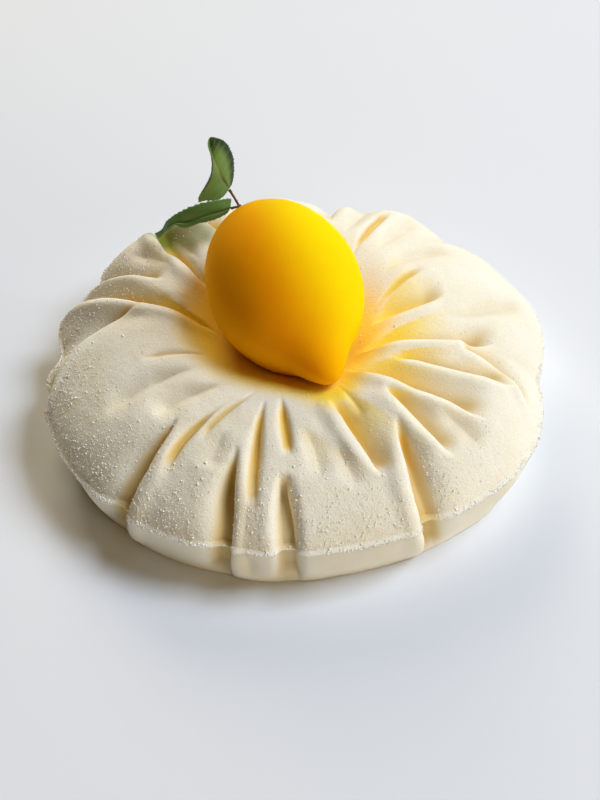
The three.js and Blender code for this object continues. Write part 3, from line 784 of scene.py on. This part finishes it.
def mousse_material(settings):
    """White mousse under a velvet spray: cocoa butter that froze into fine grains as it landed, so matte,
    sandy and a little translucent. Little of it gets into the folds, where buttery yellow mousse shows,
    deepened by painted warm shade."""
    material, tree = new_material("velvet_sprayed_mousse")
    crease, slot, sprayed, near, bead, under = mesh_fields(
        tree, "crease", "slot", "sprayed", "near_lemon", "bead", "under_leaf")
    # Patches of heavier and lighter spray, about 15 mm across
    patches = noise(tree, scale=65.0, detail=3.0)
    body = mix_colours(tree, patches, linear(PALE_SPRAY), settings.colour)
    raised = mix_colours(tree, bead, body, linear(PALE_SPRAY))
    # Bare mousse in the folds, with their amber deepened as painted warm shade
    bare_and_shaded = mix_colours(tree, slot, settings.crease_bare_and_shade_colour, settings.slot_colour)
    creased = mix_colours(tree, crease, raised, bare_and_shaded)
    # Yellow overspray with painted bounce light from the lemon
    overspray_and_bounce = multiply(tree, near, settings.overspray_and_bounce)
    tinted = mix_colours(tree, overspray_and_bounce, creased, settings.overspray_and_bounce_colour)
    # The low leaf lets green light through on the mousse beside it
    greened = mix_colours(tree, under, tinted, settings.leaf_shade_colour)
    # Grains of spray are about 0.3 mm, which is under a pixel here, so they are drawn at 0.7 mm
    grain = noise(tree, scale=1400.0, detail=3.0, roughness=0.7)
    # The yellower mousse shows a little between the grains, and the same darker colour there is painted
    # shade in the pits
    between = add_node(tree, "ShaderNodeMapRange", {
        "Value": grain, "From Min": 0.55, "From Max": 0.35, "To Max": 0.2})
    mousse_and_pit_shade = multiply(tree, between.outputs[0], sprayed)
    finish_material(tree, {
        "Base Color": mix_colours(tree, mousse_and_pit_shade, greened, settings.slot_colour),
        "Roughness": 0.85,
        "IOR": 1.46,
        "Specular IOR Level": 0.3,
        "Subsurface Weight": 0.3,
        "Subsurface Radius": (1.0, 0.95, 0.5),
        "Subsurface Scale": 0.002,
    }, height=grain, strength=multiply(tree, sprayed, settings.grain), distance=0.00035)
    return material


def grain_material():
    """Coarse grains of the same cocoa butter spray, paler than the mousse and with a faint waxy glint."""
    material, tree = new_material("frozen_cocoa_butter_grains")
    finish_material(tree, {
        "Base Color": linear(PALE_SPRAY),
        "Roughness": 0.6,
        "IOR": 1.46,
        "Subsurface Weight": 0.2,
        "Subsurface Radius": (1.0, 0.8, 0.5),
        "Subsurface Scale": 0.001,
    })
    return material


def lemon_material(settings):
    """White chocolate shell coloured with yellow cocoa butter and velvet sprayed: matte and deep in colour."""
    material, tree = new_material("velvet_sprayed_lemon_shell")
    # The colour was sprayed in passes, which leaves patches about 10 mm across
    patches = noise(tree, scale=100.0, detail=4.0)
    body = mix_colours(tree, patches, settings.colour, settings.light_colour)
    # Painted light: yellower towards the window, and a painted orange bounce glow underneath
    yellow, low = mesh_fields(tree, "painted_lit_side", "painted_underside")
    painted_lit = mix_colours(tree, yellow, body, settings.painted_lit_colour)
    # Finer than the mousse's grain, 0.2 mm, and drawn at 0.6 mm to show at all
    grain = noise(tree, scale=1600.0, detail=2.0)
    finish_material(tree, {
        "Base Color": mix_colours(tree, low, painted_lit, settings.painted_underside_colour),
        "Roughness": 0.8,
        "IOR": 1.46,
        "Specular IOR Level": 0.05,
        "Subsurface Weight": 0.8,
        "Subsurface Radius": (1.0, 0.5, 0.06),
        "Subsurface Scale": 0.008,
    }, height=grain, strength=settings.grain, distance=0.0002)
    return material


def leaf_material(settings):
    """A fresh evergreen leaf: dark and waxy above, paler and duller below, lighter along its veins."""
    material, tree = new_material("fresh_evergreen_leaf")
    vein, stalk, under, pale = mesh_fields(tree, "vein", "stalk", "under", "pale")
    # Mottling between the small veins, about 2 mm across
    mottle = noise(tree, scale=500.0, detail=4.0)
    dark = mix_colours(tree, mottle, linear(LEAF_DARK), settings.colour)
    # Painted light and shade: the upper face is lighter where the field paints it lit
    top = mix_colours(tree, pale, dark, settings.light_colour)
    faces = mix_colours(tree, under, top, linear(LEAF_UNDERSIDE))
    veined = mix_colours(tree, vein, faces, settings.vein_colour)
    finish_material(tree, {
        "Base Color": mix_colours(tree, stalk, veined, settings.bark_colour),
        "Roughness": 0.42,
        "IOR": 1.45,
        "Specular IOR Level": 0.35,
        "Subsurface Weight": 0.25,
        "Subsurface Radius": (0.5, 1.0, 0.1),
        "Subsurface Scale": 0.0006,
    }, height=mottle, strength=0.35, distance=0.0002)
    return material


def bark_material(settings):
    """The bark of a young twig: reddish brown, smooth and dull, with paler streaks along it."""
    material, tree = new_material("young_reddish_bark")
    # Streaks under a millimetre wide
    streaks = noise(tree, scale=900.0, detail=3.0)
    finish_material(tree, {
        "Base Color": mix_colours(tree, streaks, settings.bark_colour, linear(BARK_STREAK)),
        "Roughness": 0.6,
    }, height=streaks, strength=0.4, distance=0.0001)
    return material


def board_material(settings):
    """Matt emulsion on a smooth board, with a very faint roller texture about 2 mm across."""
    material, tree = new_material("matt_painted_board")
    finish_material(tree, {
        "Base Color": settings.floor_colour,
        "Roughness": 0.75,
    }, height=noise(tree, scale=500.0, detail=2.0), strength=0.05, distance=0.0002)
    return material


# Pieces

def build_cushion(settings):
    """The mousse cushion, closed by a flat underside."""
    points, fields = cushion_form()
    all_points, faces = closed_rings(points, [(0, 0, points[0, :, 2].mean()), (0, 0, 0)])
    fields = {name: np.append(values.ravel(), [0, 0]) for name, values in fields.items()}
    piece = add_mesh("mousse_cushion_sprayed", all_points, faces, mousse_material(settings), **fields)
    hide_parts("mousse_cushion")
    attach(piece, "root")


def small_ball():
    """The corners and faces of an octahedron of radius 1, the least that looks round at a grain's size."""
    corners = np.vstack([np.eye(3), -np.eye(3)])
    faces = []
    for x in (0, 3):
        for y in (1, 4):
            for z in (2, 5):
                normal = np.cross(corners[y] - corners[x], corners[z] - corners[x])
                faces.append((x, y, z) if normal @ corners[x] > 0 else (x, z, y))
    return corners, np.array(faces)


def build_grains(settings, cushion):
    """Coarse grains of spray, half sunk in the exposed mousse and thickest on the rim's raised line."""
    mesh = cushion.data
    centres = read_all(mesh.polygons, "center", 3) * MM_PER_METRE
    normals = read_all(mesh.polygons, "normal", 3)
    areas = read_all(mesh.polygons, "area")
    corners = read_all(mesh.loops, "vertex_index", kind=int)
    first_corners = corners[read_all(mesh.polygons, "loop_start", kind=int)]
    weights = {
        name: read_all(mesh.attributes[name].data, "value", kind=np.float32)[first_corners]
        for name in ("sprayed", "bead", "under_leaf")
    }
    patchy = GRAINS_BETWEEN + (0.5 + 0.5 * uneven(centres, GRAIN_PATCHES, seed=40))
    lower = GRAINS_ON_CREST + (1 - GRAINS_ON_CREST) * smooth(*GRAINS_LOWER, centres[:, 2])
    facing = smooth(*GRAINS_FACING, normals @ SPRAY_FROM)
    thick = weights["sprayed"] ** 2 * lower * patchy * facing + GRAINS_ON_BEAD * weights["bead"]
    chance = areas * thick
    chance *= 1 - weights["under_leaf"]
    chance[lemon_distance(centres) < GRAINS_OFF_LEMON] = 0
    rng = np.random.default_rng(seed=7)
    chosen = rng.choice(len(chance), settings.grain_count, p=chance / chance.sum())
    size = rng.uniform(*GRAIN_SIZE, len(chosen))
    size *= 1 + BIG_GRAINS_LARGER * (rng.random(len(chosen)) < BIG_GRAINS)
    ball, ball_faces = small_ball()
    shape = rng.uniform(*GRAIN_STRETCH, (len(chosen), 1, 3))
    uneven_balls = ball[None] * shape * size[:, None, None]
    spot = centres[chosen] + rng.uniform(-GRAIN_STRAY, GRAIN_STRAY, (len(chosen), 3))
    spot += normals[chosen] * (size * GRAIN_STANDS_OUT)[:, None]
    points = (uneven_balls + spot[:, None]).reshape(-1, 3)
    faces = (ball_faces[None] + len(ball) * np.arange(len(chosen))[:, None, None]).reshape(-1, 3)
    piece = add_mesh("sprayed_grains", points, faces.tolist(), grain_material())
    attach(piece, "root")


def build_lemon(settings):
    """The moulded lemon, an uneven egg with a nipple."""
    axis = lemon_axis()
    side = np.cross(axis, [0, 0, 1])
    side /= np.linalg.norm(side)
    above = np.cross(side, axis)
    from_tip = np.linspace(0, np.pi, LEMON_ROWS + 1)[1:-1, None]
    round_axis = np.linspace(0, 2 * np.pi, LEMON_COLUMNS, endpoint=False)[None, :]
    around = np.cos(round_axis)[..., None] * side + np.sin(round_axis)[..., None] * above
    ways = np.cos(from_tip)[..., None] * axis + np.sin(from_tip)[..., None] * around
    reach = lemon_reach(from_tip) + 0 * round_axis
    points = LEMON_CENTRE + reach[..., None] * ways
    for i, (size, rise) in enumerate(LEMON_LUMPS):
        reach = reach + rise * uneven(points, size, seed=60 + i)
    points = LEMON_CENTRE + reach[..., None] * ways
    ends = [LEMON_CENTRE + lemon_reach(0.0) * axis, LEMON_CENTRE - lemon_reach(np.pi) * axis]
    outwards = np.vstack([ways.reshape(-1, 3), [axis, -axis]])
    fields = {
        "painted_lit_side": smooth(*PAINTED_LIT_FROM, outwards @ PAINTED_LIT_WAY),
        "painted_underside": smooth(*PAINTED_UNDERSIDE_FROM, -outwards[:, 2]),
    }
    all_points, faces = closed_rings(points, ends)
    piece = add_mesh("lemon_velvet", all_points, faces, lemon_material(settings), **fields)
    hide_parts("lemon")
    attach(piece, "root")


def blade_form(shape):
    """Points of a blade's middle sheet by row and strip, and its normals."""
    along = np.linspace(0, 1, BLADE_STEPS + 1)
    across = np.linspace(-1, 1, BLADE_STRIPS + 1)
    rib = curve_through(shape["rib"], along)[:, None]
    left = curve_through(shape["left"], along)[:, None]
    right = curve_through(shape["right"], along)[:, None]
    share = np.abs(across)[None, :, None]
    edge = np.where(across[None, :, None] < 0, left, right)
    bulge = BLADE_BULGE * np.sin(np.pi * share) * np.sin(np.pi * along)[:, None, None]
    sheet = rib + (edge - rib) * share + bulge * UP_AND_FORWARD
    ahead = np.gradient(sheet, axis=0)
    aside = np.gradient(sheet, axis=1)
    normal = np.cross(ahead, aside)
    normal /= np.maximum(np.linalg.norm(normal, axis=-1, keepdims=True), TINY)
    return sheet, normal, along, across


def build_leaf(settings, node, shape):
    """One leaf blade with a toothed edge, a midrib and side veins."""
    sheet, normal, along, across = blade_form(shape)
    share = np.abs(across)[None, :]
    run = along[:, None]
    # Teeth on the edge, each a slow rise and a quick fall back
    tooth = (run * settings.teeth) % 1
    reach_out = smooth(*TEETH_FROM, share) * (tooth - 0.5) * np.sin(np.pi * run) ** 0.5
    middle = sheet[:, BLADE_STRIPS // 2][:, None]
    outwards = sheet - middle
    outwards /= np.maximum(np.linalg.norm(outwards, axis=-1, keepdims=True), TINY)
    sheet = sheet + outwards * settings.tooth_size * reach_out[..., None]
    rib = bell(share, RIB_WIDTH)
    slant = (run * settings.veins - share * VEIN_SLANT) % 1
    veined = smooth(*VEIN_STARTS, share) * (1 - smooth(*VEIN_ENDS, share))
    side_vein = bell(slant - 0.5, VEIN_WIDTH) * veined
    shown = 1 if (normal @ UP_AND_FORWARD).mean() > 0 else -1
    relief = -shown * (RIB_DEEP * rib + VEIN_DEEP * side_vein)
    ends = np.clip(np.minimum(run, 1 - run) / END_SHARE, END_THIN, 1)
    half = settings.leaf_thickness / 2 * (1 - EDGE_THINNER * share ** 3) * ends
    upper = sheet + normal * (half + relief)[..., None]
    lower = sheet - normal * (half - relief)[..., None]
    rows, columns = sheet.shape[:2]
    points = np.vstack([upper.reshape(-1, 3), lower.reshape(-1, 3)])
    under = rows * columns
    faces = []
    for i in range(rows - 1):
        for j in range(columns - 1):
            a = i * columns + j
            b = a + columns
            faces.append((a, b, b + 1, a + 1))
            faces.append((under + a, under + a + 1, under + b + 1, under + b))
    for i in range(rows - 1):
        for a, b in ((i * columns, (i + 1) * columns), ((i + 2) * columns - 1, (i + 1) * columns - 1)):
            faces.append((b, a, under + a, under + b))
    last = (rows - 1) * columns
    for j in range(columns - 1):
        faces.append((j, j + 1, under + j + 1, under + j))
        faces.append((last + j + 1, last + j, under + last + j, under + last + j + 1))
    # Painted light and shade: each half lit or shaded in its colour, and shade painted on margin and tip
    left_painted_light, right_painted_light, painted_margin_shade, painted_tip_shade = shape["painted_tone"]
    right_half_painted = right_painted_light * (1 - painted_margin_shade * smooth(*PAINTED_MARGIN_FROM, share))
    painted_tip_mask = smooth(*PAINTED_TIP_FROM, run) * smooth(*PAINTED_TIP_SIDE, across)
    painted_tone = np.where(across < 0, left_painted_light, right_half_painted) * (1 - painted_tip_shade * painted_tip_mask)
    both_faces = {
        "vein": RIB_LIGHT * rib + VEIN_LIGHT * side_vein,
        "stalk": rib * (1 - smooth(*STALK_FADES, run)),
        "pale": painted_tone,
    }
    fields = {name: np.tile(values.ravel(), 2) for name, values in both_faces.items()}
    fields["under"] = np.repeat([0.0, 1.0][::shown], rows * columns)
    piece = add_mesh(node + "_blade", points, faces, leaf_material(settings), **fields)
    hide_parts(node)
    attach(piece, "root")


def tube(points, radii, sides):
    """Points by ring and side of a tube along the points, square to its run."""
    path = np.asarray(points, float)
    ahead = np.gradient(path, axis=0)
    ahead /= np.linalg.norm(ahead, axis=1, keepdims=True)
    side = np.cross(ahead, ACROSS_TUBES)
    side /= np.linalg.norm(side, axis=1, keepdims=True)
    above = np.cross(side, ahead)
    turn = np.linspace(0, 2 * np.pi, sides, endpoint=False)
    ring = np.cos(turn)[None, :, None] * side[:, None] + np.sin(turn)[None, :, None] * above[:, None]
    return path[:, None] + ring * np.asarray(radii)[:, None, None]


def build_twig(settings):
    """The stub and the two stalks, knobbly and swollen where they part and where a blade begins."""
    axis = lemon_axis()
    start = LEMON_CENTRE - axis * (lemon_reach(np.pi) - STUB_SUNK)
    fork, up, down = (np.array(place) for place in (TWIG_FORK, UPRIGHT_BASE, DROOPING_BASE))
    runs = [
        ([start, (start + fork) / 2, fork - axis * STUB_RADIUS], STUB_RADIUS, STUB_SWELLS),
        ([fork, (fork + up) / 2 + UPRIGHT_BOW, up], STALK_RADIUS, STALK_SWELLS),
        ([fork, (fork + down) / 2 + DROOPING_BOW, down], STALK_RADIUS, STALK_SWELLS),
    ]
    points, faces = [], []
    for route, radius, swell in runs:
        share = np.linspace(0, 1, TWIG_RINGS)
        radii = radius * (1 + (swell - 1) * np.abs(2 * share - 1) ** 3)
        rings = tube(curve_through(route, share), radii, TWIG_SIDES)
        rings += KNOB_HEIGHT * uneven(rings, KNOB_SIZE, seed=80)[..., None]
        ends = curve_through(route, [0.0, 1.0])
        more_points, more_faces = closed_rings(rings, ends, sum(len(part) for part in points))
        points.append(more_points)
        faces += more_faces
    piece = add_mesh("twig_stalks", np.vstack(points), faces, bark_material(settings))
    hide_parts("twig")
    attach(piece, "root")


# The stage

def build_floor(settings):
    """A pale board much larger than the view."""
    corners = [(-1, -1, 0), (1, -1, 0), (1, 1, 0), (-1, 1, 0)]
    points = FLOOR_HALF * np.array(corners)
    floor = add_mesh("floor", points, [(0, 1, 2, 3)], board_material(settings))


def add_area_light(name, turn, rise, power, colour):
    """A square soft light on the cake, at an angle from +X towards +Y and an angle above the floor."""
    light = bpy.data.lights.new(name, "AREA")
    light.size = LIGHT_SIZE
    light.energy = power
    light.color = linear(colour)
    lamp = bpy.data.objects.new(name, light)
    turn, rise = math.radians(turn), math.radians(rise)
    way = Vector((math.cos(turn) * math.cos(rise), math.sin(turn) * math.cos(rise), math.sin(rise)))
    lamp.location = way * LIGHT_DISTANCE
    lamp.rotation_euler = way.to_track_quat("Z", "Y").to_euler()
    bpy.context.scene.collection.objects.link(lamp)


def build_lights(settings):
    """A high window on the right, a second one behind, a low reflector in front, and a dim warm room."""
    add_area_light("window", *WINDOW_PLACE, settings.window_power, WINDOW_COLOUR)
    add_area_light("back_window", *BACK_WINDOW_PLACE, settings.back_window_power, BACK_WINDOW_COLOUR)
    add_area_light("reflector", *REFLECTOR_PLACE, settings.reflector_power, REFLECTOR_COLOUR)
    world = bpy.data.worlds.new("pale_room")
    world.use_nodes = True
    background = world.node_tree.nodes["Background"]
    background.inputs["Color"].default_value = (*linear(ROOM_COLOUR), 1)
    background.inputs["Strength"].default_value = settings.room_light
    bpy.context.scene.world = world


def build_camera():
    """The camera, high in front of the cake."""
    elevation = math.radians(CAMERA_ELEVATION)
    roll = math.radians(CAMERA_ROLL)
    back = Vector((0, -math.cos(elevation), math.sin(elevation)))
    right = Vector((1, 0, 0))
    above = back.cross(right)
    tilted_right = right * math.cos(roll) + above * math.sin(roll)
    tilted_above = above * math.cos(roll) - right * math.sin(roll)
    place = (Vector(CAMERA_AIM) + back * CAMERA_DISTANCE) / MM_PER_METRE
    axes = Matrix((tilted_right, tilted_above, back)).transposed().to_4x4()
    data = bpy.data.cameras.new("camera")
    data.lens = CAMERA_LENS
    data.clip_start = CAMERA_CLIP
    camera = bpy.data.objects.new("camera", data)
    camera.matrix_world = Matrix.Translation(place) @ axes
    bpy.context.scene.collection.objects.link(camera)
    bpy.context.scene.camera = camera
    bpy.context.scene.view_settings.view_transform = "Standard"


# Settings

def colour_property(name, description, colour):
    """A colour setting whose default is an sRGB hex value."""
    return FloatVectorProperty(
        name=name, description=description, default=linear(colour), subtype="COLOR", min=0, max=1)


class MousseSettings(bpy.types.PropertyGroup):
    """Finish of the mousse cushion"""

    colour: colour_property("Mousse", "Colour of the mousse where the spray is thin", "#f3ebd0")
    # Bare mousse in the creases, deepened by painted warm shade
    crease_bare_and_shade_colour: colour_property("Folds", "Colour of the mousse in the creases", "#e8c258")
    slot_colour: colour_property("Slots", "Colour of the mousse in the wide folds", "#dec486")
    # Yellow overspray and painted bounce light round the lemon
    overspray_and_bounce_colour: colour_property("Overspray", "Colour of the yellow spray around the lemon", "#ffdd18")
    leaf_shade_colour: colour_property("Leaf Shade", "Colour of the mousse under the low leaf", "#6c7410")
    overspray_and_bounce: FloatProperty(
        name="Overspray", description="How much yellow spray there is", default=0.95, min=0, max=1)
    grain: FloatProperty(name="Grain", description="Strength of the fine grain", default=0.75, min=0, max=1)
    grain_count: IntProperty(
        name="Coarse Grains", description="Number of coarse grains", default=8000, min=0, max=24000)


class LemonSettings(bpy.types.PropertyGroup):
    """Finish of the moulded lemon"""

    colour: colour_property("Lemon", "Main colour of the lemon", "#ff9c00")
    light_colour: colour_property("Light Patches", "Colour where the spray is lighter", "#ffa800")
    # Painted light on the lemon: its lit side and the bounce glow underneath
    painted_lit_colour: colour_property("Right Side", "Colour of the yellow spray on its right", "#ffd400")
    painted_underside_colour: colour_property("Underside", "Colour of the orange spray from below", "#ffa200")
    grain: FloatProperty(name="Grain", description="Strength of the fine grain", default=0.4, min=0, max=1)


class LeafSettings(bpy.types.PropertyGroup):
    """Size and finish of the leaves and the twig"""

    colour: colour_property("Leaf", "Colour of the upper face", "#1e420c")
    # Colour where the painted light on the upper face is strongest
    light_colour: colour_property("Light Leaf", "Colour of the upper face where it is thinner", "#7ea858")
    vein_colour: colour_property("Veins", "Colour of the midrib and the veins", "#7f9a52")
    bark_colour: colour_property("Bark", "Colour of the twig", "#5c2a1c")
    leaf_thickness: FloatProperty(
        name="Thickness", description="Thickness of a blade, in millimetres", default=0.4, min=0.2, max=0.6)
    teeth: IntProperty(name="Teeth", description="Teeth along each edge", default=26, min=0, max=60)
    tooth_size: FloatProperty(
        name="Tooth Size", description="Height of a tooth, in millimetres", default=0.6, min=0, max=1)
    veins: IntProperty(name="Veins", description="Side veins on each half", default=9, min=0, max=20)


class StageSettings(bpy.types.PropertyGroup):
    """Floor and light"""

    floor_colour: colour_property("Floor", "Colour of the floor", "#e6eaef")
    window_power: FloatProperty(
        name="Window", description="Power of the main light", default=58.0, min=0, unit="POWER")
    back_window_power: FloatProperty(
        name="Back Window", description="Power of the light from behind", default=31.0, min=0, unit="POWER")
    reflector_power: FloatProperty(
        name="Reflector", description="Power of the weak front light", default=18.0, min=0, unit="POWER")
    room_light: FloatProperty(
        name="Room", description="Strength of the light from all sides", default=0.09, min=0)


class EntremetSettings(bpy.types.PropertyGroup):
    """All settings of the cake"""

    mousse: PointerProperty(type=MousseSettings)
    lemon: PointerProperty(type=LemonSettings)
    leaf: PointerProperty(type=LeafSettings)
    stage: PointerProperty(type=StageSettings)


# Operators

class ENTREMET_OT_cushion(bpy.types.Operator):
    """Builds the pleated mousse cushion"""

    bl_idname = "entremet.cushion"
    bl_label = "Mousse Cushion"

    def execute(self, context):
        build_cushion(context.scene.entremet.mousse)
        return {"FINISHED"}


class ENTREMET_OT_grains(bpy.types.Operator):
    """Scatters the coarse grains of spray on the cushion"""

    bl_idname = "entremet.grains"
    bl_label = "Sprayed Grains"

    def execute(self, context):
        cushion = bpy.data.objects.get("mousse_cushion_sprayed")
        if cushion is None:
            raise RuntimeError("build the mousse cushion first")
        build_grains(context.scene.entremet.mousse, cushion)
        return {"FINISHED"}


class ENTREMET_OT_lemon(bpy.types.Operator):
    """Builds the moulded lemon"""

    bl_idname = "entremet.lemon"
    bl_label = "Moulded Lemon"

    def execute(self, context):
        build_lemon(context.scene.entremet.lemon)
        return {"FINISHED"}


class ENTREMET_OT_leaves(bpy.types.Operator):
    """Builds both leaves"""

    bl_idname = "entremet.leaves"
    bl_label = "Leaves"

    def execute(self, context):
        settings = context.scene.entremet.leaf
        build_leaf(settings, "leaf_upright", UPRIGHT_LEAF)
        build_leaf(settings, "leaf_drooping", DROOPING_LEAF)
        return {"FINISHED"}


class ENTREMET_OT_twig(bpy.types.Operator):
    """Builds the twig with its two stalks"""

    bl_idname = "entremet.twig"
    bl_label = "Twig"

    def execute(self, context):
        build_twig(context.scene.entremet.leaf)
        return {"FINISHED"}


class ENTREMET_OT_stage(bpy.types.Operator):
    """Adds the floor, the lights and the camera"""

    bl_idname = "entremet.stage"
    bl_label = "Stage"

    def execute(self, context):
        settings = context.scene.entremet.stage
        build_floor(settings)
        build_lights(settings)
        build_camera()
        return {"FINISHED"}


OPERATORS = (
    ENTREMET_OT_cushion,
    ENTREMET_OT_grains,
    ENTREMET_OT_lemon,
    ENTREMET_OT_leaves,
    ENTREMET_OT_twig,
    ENTREMET_OT_stage,
)


class ENTREMET_PT_panel(bpy.types.Panel):
    """Lists the pieces with their settings"""

    bl_label = "Entremet"
    bl_idname = "ENTREMET_PT_panel"
    bl_space_type = "VIEW_3D"
    bl_region_type = "UI"
    bl_category = "Entremet"

    def draw(self, context):
        settings = context.scene.entremet
        for operator in OPERATORS:
            self.layout.operator(operator.bl_idname)
        for group in (settings.mousse, settings.lemon, settings.leaf, settings.stage):
            box = self.layout.box()
            for name in group.__annotations__:
                box.prop(group, name)


CLASSES = (
    MousseSettings,
    LemonSettings,
    LeafSettings,
    StageSettings,
    EntremetSettings,
    *OPERATORS,
    ENTREMET_PT_panel,
)


def register():
    """Registers the classes and adds the settings to the scene."""
    for cls in CLASSES:
        bpy.utils.register_class(cls)
    bpy.types.Scene.entremet = PointerProperty(type=EntremetSettings)


def unregister():
    """Takes the settings and the classes away again."""
    del bpy.types.Scene.entremet
    for cls in reversed(CLASSES):
        bpy.utils.unregister_class(cls)


def main():
    """Builds every piece in order."""
    register()
    bpy.ops.entremet.cushion()
    bpy.ops.entremet.grains()
    bpy.ops.entremet.lemon()
    bpy.ops.entremet.leaves()
    bpy.ops.entremet.twig()
    bpy.ops.entremet.stage()


if __name__ == "__main__":
    main()
